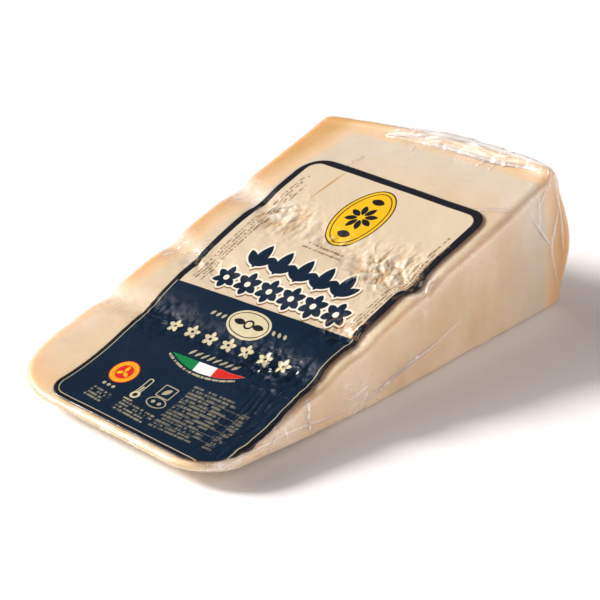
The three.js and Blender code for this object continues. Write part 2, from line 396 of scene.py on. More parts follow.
def makeCheeseMaterial():
    material, tree = newMaterial("agedCheese")
    place = addNode(tree, "TexCoord").outputs["Object"]
    broad = noiseTexture(place, 28.0, 4.0)["Fac"]
    grain = noiseTexture(place, 620.0, 3.0)["Fac"]
    tall = addNode(tree, "Mapping", {"Vector": place, "Scale": (1.0, 1.0, 0.22)}).outputs[0]
    streaks = noiseTexture(tall, 90.0, 3.0)["Fac"]
    tone = plus(times(broad, 0.6), times(streaks, 0.4))
    colour = blendColour(remap(tone, 0.42, 0.62), cheeseLook["paste"], cheeseLook["pasteDeep"])
    colour = blendColour(remap(grain, 0.62, 0.74, 0.0, 0.35), colour, cheeseLook["grain"])
    # painted shade in the crumbs' hollows and painted highlight on their tops, from the relief height
    crumb = attribute(tree, "crumb")
    colour = blendColour(remap(crumb, -0.05, -0.3, 0.0, 0.6), colour, cheeseLook["valleyShade"])
    colour = blendColour(remap(crumb, 0.15, 0.5, 0.0, 0.6), colour, cheeseLook["grain"])
    wander = times(minus(broad, 0.5), cheeseLook["rindWander"])
    depth = plus(attribute(tree, "rind"), wander)
    along = axes(place)[0]
    towardsRind = remap(along, -0.06, 0.05, 0.25, 1.0)
    pale = times(remap(depth, -34.0, -8.0, 0.0, 0.85), towardsRind)
    colour = blendColour(pale, colour, cheeseLook["pale"])
    # painted warm glow towards the thin tip, which stands in shade
    colour = blendColour(remap(along, -0.075, -0.1), colour, cheeseLook["tip"])
    colour = blendColour(remap(depth, -1.6, 1.8, 0.0, 0.85), colour, cheeseLook["cutRind"])
    colour = blendColour(remap(depth, 2.5, 10.0), colour, cheeseLook["deepRind"])
    crusty = times(attribute(tree, "crust"), remap(streaks, 0.3, 0.65, 0.55, 1.0))
    colour = blendColour(crusty, colour, cheeseLook["crust"])
    bumps = plus(times(grain, 0.35), broad)
    bump = addNode(tree, "Bump", {"Height": bumps, "Strength": 0.35, "Distance": 0.6 * mm})
    surface = addNode(tree, "BsdfPrincipled", {
        "Base Color": colour, "Roughness": 0.55, "Normal": bump.outputs[0],
        "Subsurface Weight": 0.75, "Subsurface Radius": (1.0, 0.65, 0.4), "Subsurface Scale": 8 * mm})
    addNode(tree, "OutputMaterial", {"Surface": surface.outputs[0]})
    return material


filmLook = {
    "milk": (1, 0.96, 0.91),
    "glow": (0.95, 0.9, 0.86),
    "glowShare": 0.25,
    "wrinkles": 0.06,
    "fineWrinkles": 0.02,
    "wrinkleDepth": 1.3 * mm,
    "creaseHaze": 0.18,
    "cloudHaze": 0.12,
    "mostHaze": 0.9,
    # painted glints: white flecks, more where the film is veiled or crumpled
    "veilPaintedGlints": 1.6,
    "crumplePaintedGlints": 0.5,
    "mostPaintedGlints": 0.8,
}


def makeFilmMaterial():
    material, tree = newMaterial("clearFilm")
    place = addNode(tree, "TexCoord").outputs["Object"]
    crumple, veil = attribute(tree, "crumple"), attribute(tree, "veil")
    wrinkles = useGroup(wrinkleGroup, {"Place": place, "Stretch": (1.0, 1.0, 0.5), "Scale": 55.0,
                                       "Crumple": crumple, "Calm": filmLook["wrinkles"]})["Height"]
    fine = useGroup(wrinkleGroup, {"Place": place, "Scale": 210.0, "Crumple": crumple,
                                   "Calm": filmLook["fineWrinkles"]})["Height"]
    height = plus(wrinkles, times(fine, 0.5))
    bump = addNode(tree, "Bump", {
        "Height": height, "Strength": 0.9, "Distance": filmLook["wrinkleDepth"]}).outputs[0]
    fresnel = addNode(tree, "Fresnel", {"IOR": 1.5, "Normal": bump}).outputs[0]
    outer = minus(1.0, addNode(tree, "NewGeometry").outputs["Backfacing"])
    clear = addNode(tree, "BsdfTransparent")
    gloss = addNode(tree, "BsdfGlossy", {"Roughness": 0.14, "Normal": bump})
    shiny = addNode(tree, "MixShader", {
        0: times(fresnel, outer), 1: clear.outputs[0], 2: gloss.outputs[0]})
    milk = addNode(tree, "BsdfPrincipled", {
        "Base Color": filmLook["milk"], "Metallic": 0.25, "Roughness": 0.3})
    glow = addNode(tree, "BsdfTranslucent", {"Color": filmLook["glow"]})
    cloudy = addNode(tree, "MixShader", {
        0: filmLook["glowShare"], 1: milk.outputs[0], 2: glow.outputs[0]})
    haze = times(veil, remap(height, 0.0, 0.9, 0.6, 1.3))
    haze = plus(haze, times(height, filmLook["creaseHaze"]))
    drawn = vectorCalc("MULTIPLY", place, (1.0, 0.45, 1.0))
    clouds = noiseTexture(drawn, 46.0, 3.0, Distortion=0.6)["Fac"]
    haze = plus(haze, remap(clouds, 0.5, 0.72, 0.0, filmLook["cloudHaze"]))
    # painted glints: sparse white flecks from noise, added to the haze
    glintNoise = noiseTexture(vectorCalc("MULTIPLY", place, (1.0, 1.0, 0.7)), 260.0, 3.0)["Fac"]
    paintedGlints = plus(times(veil, filmLook["veilPaintedGlints"]),
                  times(crumple, filmLook["crumplePaintedGlints"]))
    paintedGlints = calc("MINIMUM", paintedGlints, filmLook["mostPaintedGlints"])
    haze = plus(haze, times(paintedGlints, remap(glintNoise, 0.61, 0.68)))
    haze = times(calc("MINIMUM", haze, filmLook["mostHaze"]), outer)
    surface = addNode(tree, "MixShader", {0: haze, 1: shiny.outputs[0], 2: cloudy.outputs[0]})
    addNode(tree, "OutputMaterial", {"Surface": surface.outputs[0]})
    return material


skinGrid = {"edges": [0, 0.35, 0.9, 1.7, 2.8], "step": 1.15, "rows": 40}

# Where the paste ends and the rind begins on the cut faces, and how deep the rind is at the back
rindLine = [(0, 57.5), (50, 53.5), (75, 50.8), (130, 47.4), (157, 44.4), (182, 38.7), (206, 32)]
rindBack = 12.5

# Places where the film is creased or stands off the cheese: x, y, z, reach, crumple, veil
filmMarks = [
    (134.5, 58, 41, 9, 0.9, 0.55),
    (95, 59, 30, 8, 0.9, 0.55),
    (59, 59, 20, 8, 0.8, 0.5),
    (133, 45, 42, 6, 0.8, 0.3),
    (93.5, 41, 30.5, 6, 0.8, 0.3),
    (118, -59, 36, 8, 0.35, 0.2),
    (131, -59, 40, 8, 0.25, 0.14),
    (146, -59, 44, 8, 0.25, 0.14),
    (160, -59, 49, 8, 0.12, 0.08),
    (174, -59, 53, 9, 0.12, 0.08),
    (181, -60, 49, 9, 0.12, 0.08),
    (196, -58, 61, 10, 0.6, 0.2),
    (78, -61, 8, 12, 0.7, 0.12),
    (40, -60, 11, 9, 0.7, 0.15),
    (12, -58, 9, 10, 0.7, 0.2),
    (200, 24, 56, 10, 0.5, 0.15),
    (206, -32, 19, 13, 0.4, 0.1),
    (170, 61, 30, 13, 0.4, 0.1),
    (36, 60, 9, 10, 0.5, 0.15),
    (193, 10, 61, 11, 0.5, 0.15),
    (194, -22, 61, 11, 0.5, 0.15),
    *[(x, y, 11.5, 5, 0.2, 0.5) for x, y in ((3, 26), (2, 10), (2, -6), (2, -22), (4, -38))],
]


def alongLine(line, x):
    for (startX, startY), (endX, endY) in zip(line, line[1:]):
        if x <= endX:
            return mix(startY, endY, clamp((x - startX) / (endX - startX)))
    return line[-1][1]


def rindDepth(point):
    # how far a place lies past the inner edge of the rind, below 0 in the paste
    x, y, z = point
    back = x - rindReach(min(z, rindHeight), y) + rindBack
    return max(back, y - alongLine(rindLine, x))


def filmMark(point):
    crumple = veil = 0
    for x, y, z, reach, creased, milky in filmMarks:
        near = math.exp(-((point - Vector((x, y, z))).length_squared) / reach**2)
        crumple += creased * near
        veil += milky * near
    return crumple, veil


def makeSkin():
    # the whole skin as a closed mesh, marked with what each place shows, and its relief
    us = linePlaces(wedge["length"], skinGrid["step"], skinGrid["edges"])
    vs = linePlaces(wedge["width"], skinGrid["step"], skinGrid["edges"])
    rows = skinGrid["rows"]
    bm = blockGrid((len(us) - 2, len(vs) - 2, rows - 1))
    for vert in bm.verts:
        u = us[round((vert.co.x + 0.5) * (len(us) - 1))]
        v = vs[round((vert.co.y + 0.5) * (len(vs) - 1))] - wedge["width"] / 2
        vert.co = skinPoint(u, v, vert.co.z + 0.5)
    bmesh.ops.recalc_face_normals(bm, faces=bm.faces)
    bm.normal_update()
    marks = ("rind", "crust", "crumb", "crumple", "veil")
    layers = {name: bm.verts.layers.float.new(name) for name in marks}
    moves = []
    for vert in bm.verts:
        x, y, z = vert.co
        upper = smoothStep(vert.normal.z, 0.3, 0.8)
        crumple, veil = filmMark(vert.co)
        share = crumpleShare(x, y) * upper
        vert[layers["rind"]] = rindDepth(vert.co)
        vert[layers["crust"]] = smoothStep(max(vert.normal.x, vert.normal.y), 0.35, 0.85)
        vert[layers["crumb"]] = share * crumbs(x, y)
        vert[layers["crumple"]] = clamp(share + crumple, 0, 1.3)
        vert[layers["veil"]] = clamp(veil)
        side = relief["side"] * noise.noise(Vector((x / 17, y / 17, z / 30)))
        side += relief["sideFine"] * noise.noise(Vector((x / 6, y / 6, z / 14)))
        foot = relief["foot"] * smoothStep(-z, -7, -1)
        side += foot * noise.noise(Vector((x / 8, 1.3, y / 8)))
        moves.append(mix(side * clamp(1 - abs(min(vert.normal.z, 0))), upperRelief(x, y), upper))
    return bm, moves


folds = {
    "step": 0.8,
    "sink": 0.15,
    "thickness": 0.06,
    "gap": 0.4,  # from the cheese to the film
    "crumple": 0.12,
}


def fold(halfWide, height, veil, path, lean=0.0, rows=6, ripples=0):
    return {"halfWide": halfWide, "height": height, "veil": veil, "path": path, "lean": lean,
            "rows": rows, "ripples": ripples}


foldLines = [
    # along the foot of the right face
    fold(1.2, 0.42, 0.55,
         [(137, -61, 18.6), (118.4, -61, 13.4), (105, -61, 11.6), (87, -61, 7.4), (72, -61, 5.9)], 0.6),
    fold(0.9, 0.34, 0.5,
         [(125, -61, 15.1), (112, -61, 12.6), (100, -61, 9.9), (88, -61, 6.6), (77, -61, 4.9)], -0.5),
    fold(1.2, 0.42, 0.65, [(84, -61, 12.5), (80, -61, 11.2), (76, -61, 10.2), (71, -61, 10.6)], 0.4),
    fold(1, 0.38, 0.55, [(72, -61, 5.9), (55, -61, 8.4), (41, -61, 10.2), (32, -60, 10.3)], 0.5),
    fold(1, 0.38, 0.7, [(53, -58, 18.3), (51.9, -61, 14.7), (51.6, -61, 10), (52.2, -61, 5.6)]),
    fold(1.2, 0.42, 0.65,
         [(32, -60, 10), (23, -60, 10.2), (16, -59, 9.4), (10, -57, 8.2), (5, -52, 7.8)], 0.5),
    fold(1, 0.29, 0.62, [(36, -60, 12), (33, -60, 9), (31, -60, 6.5)]),
    # from the right corner of the rind
    fold(1, 0.42, 0.82,
         [(186, -61, 55), (186.4, -61, 47), (186.8, -61, 40), (190, -61, 35.5), (193.2, -62, 32)], 0.3),
    fold(0.9, 0.34, 0.72, [(180, -61, 50), (183.5, -61, 44.5), (187.3, -61, 39.5), (193.2, -62, 31.5)]),
    fold(1, 0.42, 0.82,
         [(198.5, -61.5, 47), (196, -62, 40), (194.1, -62, 32.5), (194.5, -62, 25.8),
          (199.6, -61, 11)], 0.3),
    fold(0.9, 0.34, 0.72, [(198.9, -61.9, 46), (199.6, -62, 36), (200.5, -62, 27)]),
    fold(0.9, 0.38, 0.72, [(195.5, -59.5, 61), (192.5, -60.3, 57), (189, -60.6, 54), (185.6, -61, 50)]),
    fold(1.2, 0.42, 0.72, [(196.4, -58, 62), (197.2, -61, 54), (198.4, -61.6, 46.5)]),
    # the slack welt of film over the back edge
    fold(6.5, 1.8, 0.42, [(189, 24, 59), (192, 15, 60.5), (194.5, 5, 61), (196, -6, 62), (197, -20, 62),
                        (197, -35, 62), (197, -48, 62.5), (196.6, -57.5, 62)], rows=14, ripples=0.2),
    fold(1.3, 0.42, 0.82,
         [(190, 20, 59.4), (193, 9, 61), (195.5, -2, 62), (197.5, -14, 62.6), (198, -24, 62.6)], 0.3),
    fold(1.3, 0.42, 0.82,
         [(191, 6, 59.9), (192.5, -8, 60.3), (192.8, -23, 60.2), (193.6, -38, 60.8),
          (195.6, -55, 62)], 0.4),
    # short creases on the upper face
    fold(0.9, 0.25, 0.62, [(188.3, -26, 58.5), (190.5, -27, 59.2), (192.8, -28, 60)]),
    fold(0.9, 0.25, 0.62, [(188.5, -32.2, 58.5), (190.5, -32.5, 59.1), (192.5, -33, 59.8)]),
    fold(0.8, 0.21, 0.57, [(184.7, 6.4, 57.4), (186.3, 6.8, 57.9), (187.9, 7, 58.3)]),
    fold(0.9, 0.21, 0.52, [(165.2, 26, 51.7), (169.7, 24.2, 53), (174.1, 22.7, 54.3)]),
    fold(1.4, 0.25, 0.52, [(164.1, -42, 51.4), (168, -50, 52), (171.9, -59, 52)]),
    # on the wheel's flat side
    fold(1.1, 0.34, 0.45,
         [(40, 61, 10), (70, 61, 15), (104, 61, 13), (138, 61, 20), (160, 61, 18)], 0.5),
    fold(0.8, 0.3, 0.4, [(134, 61, 40), (137, 61, 30), (136, 61, 20), (142, 61, 9)]),
    fold(0.8, 0.28, 0.4, [(95, 61, 28), (98, 61, 20), (96, 61, 11)]),
    fold(0.7, 0.26, 0.4, [(60, 61, 18), (62, 61, 12), (60, 61, 6)]),
    fold(0.9, 0.32, 0.45, [(158, 61, 47), (170, 61, 37), (184, 61, 32), (198, 60, 22)], 0.4),
    fold(0.7, 0.28, 0.4, [(191, 61, 55), (186, 61, 44), (188, 61, 33), (184, 61, 22)]),
    # on the rind
    fold(1, 0.34, 0.45,
         [(205, -52, 52), (206, -30, 44), (206, -8, 40), (204, 20, 45), (199, 50, 52)], 0.4),
    fold(0.8, 0.3, 0.4, [(206, -54, 12), (207, -34, 20), (207, -12, 18), (206, 8, 8)]),
    fold(0.8, 0.28, 0.4, [(204, 14, 57), (205, 17, 44), (205, 11, 30), (205, 14, 18)]),
    fold(0.7, 0.28, 0.4, [(198, 54, 50), (199, 47, 36), (199, 51, 20), (198, 57, 8)]),
    fold(0.7, 0.28, 0.4, [(206, -24, 57), (207, -27, 46), (208, -21, 33)]),
    # where the label's right border is pinched
    fold(1.3, 0.46, 0.82,
         [(119.6, -58.6, 36.1), (122, -57.5, 37.5), (124.8, -56.6, 38.9), (128, -57.2, 40.1)], 0.4),
]


def pathPoint(points, share):
    # a place on the smooth curve through some points
    span = clamp(share) * (len(points) - 1)
    i = min(int(span), len(points) - 2)
    t = span - i
    a, b = points[i], points[i + 1]
    before, after = points[max(i - 1, 0)], points[min(i + 2, len(points) - 1)]
    bend = 2 * before - 5 * a + 4 * b - after
    turn = 3 * (a - b) + after - before
    return a + 0.5 * t * (b - before + t * (bend + t * turn))


def makeFolds(skin):
    # creases of film that stand on the skin, each a narrow strip raised along its middle
    bm = bmesh.new()
    veilLayer = bm.verts.layers.float.new("veil")
    crumpleLayer = bm.verts.layers.float.new("crumple")
    for each in foldLines:
        points = [Vector(point) for point in each["path"]]
        length = sum((b - a).length for a, b in zip(points, points[1:]))
        count = max(5, round(length / folds["step"]))
        made = bmesh.ops.create_grid(bm, x_segments=count, y_segments=each["rows"], size=0.5)
        for vert in made["verts"]:
            share, across = vert.co.x + 0.5, 2 * vert.co.y
            middle = pathPoint(points, share)
            ahead = pathPoint(points, share + 0.03) - pathPoint(points, share - 0.03)
            spot, normal, _, _ = skin.find_nearest(middle)
            side = normal.cross(ahead).normalized()
            taper = math.sin(math.pi * clamp(share, 0.015, 0.985)) ** 0.5
            uneven = 1 + 0.7 * noise.noise(middle / 4)
            rise = each["height"] * taper * uneven * (1 - abs(across)) ** 0.9
            if each["ripples"]:
                rise = each["height"] * taper * (1 - across**2) ** 0.7
                wave = math.cos(9 * across + 5 * noise.noise(middle / 18))
                rise *= 1 + each["ripples"] * wave * (1 - across**2)
            spot, normal, _, _ = skin.find_nearest(spot + side * (across * each["halfWide"] * taper))
            vert.co = spot + normal * (rise - folds["sink"]) + side * (each["lean"] * rise)
            vert[veilLayer] = each["veil"] * (1 - 0.7 * abs(across))
            vert[crumpleLayer] = folds["crumple"]
    bmesh.ops.solidify(bm, geom=bm.faces, thickness=folds["thickness"])
    bmesh.ops.recalc_face_normals(bm, faces=bm.faces)
    return bm


def makeWedge():
    bm, moves = makeSkin()
    normals = [vert.normal.copy() for vert in bm.verts]
    filmBm = bm.copy()
    for vert, normal, move in zip(bm.verts, normals, moves):
        vert.co += normal * (move - folds["gap"])
    for vert, normal, move in zip(filmBm.verts, normals, moves):
        vert.co += normal * move
    foldBm = makeFolds(BVHTree.FromBMesh(filmBm))
    for each in (bm, filmBm, foldBm):
        bmesh.ops.translate(each, vec=origin, verts=each.verts)
    filmMaterial = makeFilmMaterial()
    makePiece("cheese", bm, makeCheeseMaterial())
    film = makePiece("film", filmBm, filmMaterial)
    makePiece("filmFolds", foldBm, filmMaterial)
    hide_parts("wrapped_wedge")


makeWedge()
print("cheese and film made")

label = {
    "start": 2.4,
    "end": 164.6,
    "broad": 97,
    "left": {"rind": 42.9, "tip": 31.5, "from": 2, "to": 125},
    "right": {"rind": -53.4, "tip": -59.8, "from": 16, "to": 90},
    "corners": {(1, 1): 12, (0, 1): 9, (0, 0): 19.5, (1, 0): 8},  # (rind end, left side): radius
    "step": 0.65,
    "lift": 0.5,
    "thickness": 0.16,
    "uvSpan": 200,  # mm of print to one unit of the UV map
    "wobble": 0.7,
    "jag": 0.4,
    "wrinkle": 0.3,
    "pinches": [(119.5, -1.9, 4.5), (111, 0.7, 4)],  # x, out, reach
    "longFolds": {"height": 0.42, "pitch": 3.3, "from": 74, "to": 84, "up": 27, "reach": 17},
}


def labelBorder(border, x):
    share = smoothStep(x, border["from"], border["to"])
    return mix(border["tip"], border["rind"], share)


def labelCorner(a, b, longSide, broad):
    for (far, left), radius in label["corners"].items():
        alongIn = radius - (longSide - a if far else a)
        acrossIn = radius - (broad - b if left else b)
        if alongIn > 0 and acrossIn > 0:
            a2, b2 = roundCorner(alongIn, acrossIn, radius)
            return (longSide - a2 if far else a2), (broad - b2 if left else b2)
    return a, b


def upperPoint(x, y):
    # the point of the upper face straight above a place of the plan
    u, v = x, y
    edge = 0.05
    length, half = wedge["length"], wedge["width"] / 2
    for _ in range(6):
        point = skinPoint(clamp(u, edge, length - edge), clamp(v, edge - half, half - edge), 1)
        u += x - point.x
        v += y - point.y
    return point


def longFold(across, up):
    # thin ridges side by side that run up the right border, 0 to 1
    lines = label["longFolds"]
    share = smoothStep(across, lines["from"], lines["to"])
    share *= math.exp(-(((up - lines["up"]) / lines["reach"]) ** 2))
    place = across + 0.1 * up + noise.noise(Vector((across / 9, up / 14, 2.2)))
    ridge = abs(math.sin(math.pi * place / lines["pitch"]))
    return share * (1 - ridge) ** 1.5


def makeLabelMesh():
    longSide, broad = label["end"] - label["start"], label["broad"]
    rows, columns = round(longSide / label["step"]), round(broad / label["step"])
    bm = bmesh.new()
    bmesh.ops.create_grid(bm, x_segments=rows, y_segments=columns, size=0.5)
    uvLayer = bm.loops.layers.uv.new("print")
    crumpleLayer = bm.verts.layers.float.new("crumple")
    crumbLayer = bm.verts.layers.float.new("crumb")
    flat = {}
    for vert in bm.verts:
        a, b = labelCorner((vert.co.x + 0.5) * longSide, (vert.co.y + 0.5) * broad, longSide, broad)
        flat[vert.index] = (broad - b, a)
        x = label["start"] + a
        y = mix(labelBorder(label["right"], x), labelBorder(label["left"], x), b / broad)
        byRight = (1 - b / broad) ** 8
        jag = label["jag"] * noise.noise(Vector((x / 3.2, 4.4, 0))) * smoothStep(-x, -100, -70)
        y += jag * byRight
        for middle, out, reach in label["pinches"]:
            y += out * math.exp(-(((x - middle) / reach) ** 2)) * byRight
        share = crumpleShare(x, y)
        shift = label["wobble"] * share
        x += shift * noise.noise(Vector((x / 5, y / 5, 3.1)))
        y += shift * noise.noise(Vector((x / 5, y / 5, 9.4)))
        vert.co = upperPoint(x, y)
        vert[crumpleLayer] = share + longFold(broad - b, a)
        vert[crumbLayer] = crumpleShare(x, y) * crumbs(x, y)
    for face in bm.faces:
        for loop in face.loops:
            across, along = flat[loop.vert.index]
            loop[uvLayer].uv = (across / label["uvSpan"], along / label["uvSpan"])
    bm.normal_update()
    if sum(face.normal.z for face in bm.faces) < 0:
        bmesh.ops.reverse_faces(bm, faces=bm.faces)
        bm.normal_update()
    normals = [vert.normal.copy() for vert in bm.verts]
    for vert, normal in zip(bm.verts, normals):
        x, y, _ = vert.co
        wrinkle = label["wrinkle"] * crumpleShare(x, y) * noise.noise(Vector((x / 2.1, y / 1.6, 8.3)))
        wrinkle += label["longFolds"]["height"] * longFold(*flat[vert.index])
        vert.co += origin + normal * (label["lift"] + upperRelief(x, y) + wrinkle)
    bmesh.ops.solidify(bm, geom=bm.faces, thickness=-label["thickness"])
    return bm


# Inks of the print and colours of painted shade and highlight, and the print's shapes from the
# bottom layer up. Places and sizes are in mm on the flat label: across from its left border, and up
# from the tip.
inks = {
    "night": (0.006, 0.017, 0.036),
    "charcoal": (0.012, 0.013, 0.018),
    "sand": (0.64, 0.53, 0.375),
    "ivory": (0.80, 0.73, 0.60),
    "straw": (0.42, 0.37, 0.24),
    "wheat": (0.62, 0.55, 0.35),
    "umber": (0.22, 0.14, 0.07),
    # painted shade in the crumbs' hollows and in the hair crack
    "amber": (0.52, 0.27, 0.08),
    # painted highlight on the crumbs' tops
    "crumb": (0.76, 0.68, 0.53),
    "yellow": (0.76, 0.46, 0.015),
    "orange": (0.86, 0.30, 0.018),
    "red": (0.62, 0.025, 0.02),
    "green": (0.008, 0.20, 0.055),
    "white": (0.80, 0.80, 0.78),
}

sheetMiddle, sheetSize = (48.5, 81.1), (97, 162.2)
fieldSplit = {"height": 75.3, "rise": 0.083}  # where the sand field ends, and how it slopes
borders = {"onNight": 2.3, "onSand": 3.3, "keyline": 2.2, "keylineHalf": 0.19}
printEdge = 0.16  # how soft an ink's edge is
badgeMiddle = (48.8, 138.4)
sealMiddle = (20.2, 25.2)
ribbonSag = 5.2
smallPrint = {
    "stroke": 0.21,  # width of a stroke and its gap, as a share of the row pitch
    "rowSeed": 7.31,
    "wordScale": 0.17,
    "wordGaps": 0.33,
    "missing": 0.22,  # share of strokes left out
    "half": 0.22,  # least half height of a stroke, as a share of the row pitch
    "uneven": 0.12,
    "shortest": 0.76,  # the shortest row, as a share of the block's width
    "fromArc": 1.4,
}


def shape(ink, form, centre, size, **more):
    return {"ink": ink, "form": form, "centre": centre, "size": size, **more}


def repeated(shapes, count, pitch, centre, turn):
    repeat = {"count": count, "pitch": pitch, "centre": centre, "turn": turn}
    return [{**each, "repeats": [repeat, *each.get("repeats", [])]} for each in shapes]


def printRow(count, pitch, centre, shapes, turn=0):
    # the same shapes repeated along a straight line
    return repeated(shapes, count, pitch, centre, turn)


def printStar(count, centre, shapes, turn=0):
    # the same shapes repeated round a point, each outwards along its own x
    return repeated(shapes, count, 0, centre, turn)


def outlined(shapes, grow, ink):
    return [{**each, "ink": ink, "grow": grow} for each in shapes] + shapes


def palmette(ink):
    # three leaves that fan out from one foot
    return [
        shape(ink, "leaf", (0, 0.7), (5.6, 14)),
        shape(ink, "leaf", (-3.5, -1.5), (4.2, 10), turn=42),
        shape(ink, "leaf", (3.5, -1.5), (4.2, 10), turn=-42),
    ]


def blossom(ink, count, size):
    petal = shape(ink, "leaf", (size * 0.27, 0), (size * 0.29, size * 0.47), turn=90)
    return printStar(count, (0, 0), [petal], 90)


labelShapes = [
    # small print down both sides of the sand field
    shape("umber", "text", (9.4, 116), (72, 6.8), turn=90, pitch=1.65, strength=0.8),
    shape("umber", "text", (91.6, 117), (60, 4.6), turn=88, pitch=1.5, strength=0.8),
    # the badge
    shape("charcoal", "disc", badgeMiddle, (23, 35.4)),
    shape("yellow", "disc", badgeMiddle, (21.8, 34.2)),
    shape("charcoal", "disc", badgeMiddle, (18.8, 31.2), line=0.5),
    *printStar(8, badgeMiddle, [shape("charcoal", "leaf", (4.4, 0), (2.8, 5.8), turn=90)], 22.5),
    shape("yellow", "disc", badgeMiddle, (3, 3)),
    *printRow(2, 21, badgeMiddle, [shape("charcoal", "leaf", (0, 0), (3.6, 6.6))], 90),
    shape("umber", "text", (49.8, 117.3), (21, 1.9), turn=1, pitch=1.9, strength=0.85),
    shape("umber", "text", (50.2, 114.5), (22.5, 1.5), turn=1, pitch=1.5, strength=0.8),
    # two rows of bold ornament, with a thin cast edge at the lower right
    *[{**each, "grow": 0.95} for each in printRow(5, 11.2, (50.8, 101.1), palmette("umber"), 1.5)],
    *outlined(printRow(5, 11.2, (50.2, 101.8), palmette("night"), 1.5), 0.9, "ivory"),
    *[{**each, "grow": 0.95} for each in printRow(6, 11.8, (51.2, 87.3), blossom("umber", 6, 12.6), 3)],
    *outlined(printRow(6, 11.8, (50.6, 88), blossom("night", 6, 12.6), 3), 0.9, "ivory"),
    *printRow(6, 11.8, (50.6, 88), [shape("ivory", "disc", (0, 0), (2.8, 2.8))], 3),
    # the cartouche and its two flourishes
    shape("wheat", "disc", (50.4, 69.3), (22.4, 14.6)),
    shape("charcoal", "disc", (50.4, 69.3), (19.8, 12), line=0.45),
    *printRow(2, 10, (50.4, 69.3), [shape("charcoal", "leaf", (0, 0), (3, 6.2), turn=90)], 2),
    shape("charcoal", "disc", (50.4, 69.3), (4, 4), line=0.9),
    *printRow(3, 3, (34, 68.2), [shape("straw", "leaf", (0, 0), (1.5, 2.8), turn=-30)], 3),
    *printRow(3, 3, (66.8, 70.2), [shape("straw", "leaf", (0, 0), (1.5, 2.8), turn=30)], 3),
    # a row of small blossoms and a row of leaves
    *printRow(7, 9.9, (49.4, 57.4), blossom("wheat", 5, 7.4), 3.2),
    *printRow(7, 9.9, (49.4, 57.4), [shape("night", "disc", (0, 0), (1.5, 1.5))], 3.2),
    *printRow(8, 3.3, (50, 48.2), [shape("straw", "leaf", (0, 0), (1.3, 4.2), turn=-38)], 4),
    # the ribbon, with a curved line of small print under it
    shape("green", "ribbon", (49.7, 45.1), (38.6, 5.2), turn=4.4),
    shape("white", "ribbon", (49.7, 45.1), (38.6, 5.2), turn=4.4, span=-4.8),
    shape("red", "ribbon", (49.7, 45.1), (38.6, 5.2), turn=4.4, span=4.9),
    shape("straw", "text", (49.7, 45.1), (41, 1.7), turn=4.4, pitch=1.7, arc=38.4),
    # the round seal
    shape("red", "disc", sealMiddle, (13.4, 12.9)),
    shape("orange", "disc", sealMiddle, (12.8, 12.3)),
    shape("yellow", "disc", sealMiddle, (11, 10.6), line=0.5),
    shape("red", "disc", sealMiddle, (8.2, 7.9)),
    *printStar(3, sealMiddle, [shape("yellow", "leaf", (1.9, 0), (1.7, 3.4), turn=90)], 90),
    *printRow(3, 2.7, (20.4, 16.4), [shape("straw", "disc", (0, 0), (1.7, 1.7))]),
    # how cold to keep it, and two pictograms
    shape("wheat", "box", (34.4, 22.9), (2.2, 10), line=0.45, corner=1.1),
    shape("wheat", "box", (34.4, 20.6), (0.7, 5)),
    shape("wheat", "disc", (34.8, 17.6), (4.4, 4.4)),
    shape("night", "disc", (34.8, 17.6), (2.2, 2.2)),
    shape("straw", "text", (34.8, 14), (6, 1.3), pitch=1.3),
    shape("straw", "box", (45.4, 25.3), (7, 6.6), line=0.5, corner=0.6),
    shape("straw", "leaf", (45.4, 25.3), (2.4, 4.8), turn=-35),
    shape("straw", "disc", (45.9, 18.7), (9.4, 5.6), line=0.5),
    *printRow(2, 3.4, (45.9, 18.7), [shape("straw", "disc", (0, 0), (1.8, 1.8))]),
    # small print at the foot
    shape("straw", "text", (21.6, 9.7), (11.5, 7), turn=-3, pitch=1.75, strength=0.6),
    shape("straw", "text", (43.2, 9.5), (20, 7), turn=-2, pitch=1.75, strength=0.6),
    shape("straw", "text", (66, 21), (25, 27.6), turn=2.5, pitch=1.84, strength=0.4),
    shape("straw", "text", (84.4, 20), (5, 23), turn=2.5, pitch=1.84, strength=0.35),
    *printRow(6, 3.68, (69.5, 20.6), [shape("straw", "box", (0, 0), (0.22, 33), strength=0.4)], 92.5),
    # a hair crack in the cheese that shows through, its shade painted as a thin dark line
    shape("amber", "leaf", (20.8, 148.5), (0.9, 21), turn=-5),
]


placing = {"Place": ("place", None), "Centre": ("place", (0, 0, 0)), "Turn": ("value", 0.0)}


def turnedPlace(start):
    # a place seen from a centre, along axes of its own
    local = vectorCalc("SUBTRACT", start["Place"], start["Centre"])
    return addNode(treeOf(local), "VectorRotate", {
        "Vector": local, "Angle": negative(start["Turn"])}, rotation_type="Z_AXIS").outputs[0]


def shapeGroup(name, extra, distance):
    # a group that gives the distance from a shape's outline in mm, below 0 inside it
    takes = {**placing, "Size": ("place", (1, 1, 0)), **extra}
    group, start, end = newGroup(name, takes, {"Distance": "value"})
    place = turnedPlace(start)
    half = vectorCalc("MULTIPLY", start["Size"], (0.5, 0.5, 0))
    feed(end["Distance"], distance(place, half, start))
    return group


def longest(x, y):
    return calc("SQRT", plus(times(x, x), times(y, y)))


def arcRadius(half, rise):
    # of the arc over a chord, from half the chord and its rise
    square = plus(times(half, half), times(rise, rise))
    return calc("DIVIDE", square, times(rise, 2.0))


def boxDistance(place, half, takes):
    corner = takes["Corner"]
    past = vectorCalc("SUBTRACT", vectorCalc("ABSOLUTE", place), half)
    past = vectorCalc("MULTIPLY", vectorCalc("ADD", past, joined(corner, corner)), (1, 1, 0))
    outside = vectorCalc("LENGTH", vectorCalc("MAXIMUM", past, (0, 0, 0)))
    x, y, _ = axes(past)
    inside = calc("MINIMUM", calc("MAXIMUM", x, y), 0.0)
    return minus(plus(outside, inside), corner)


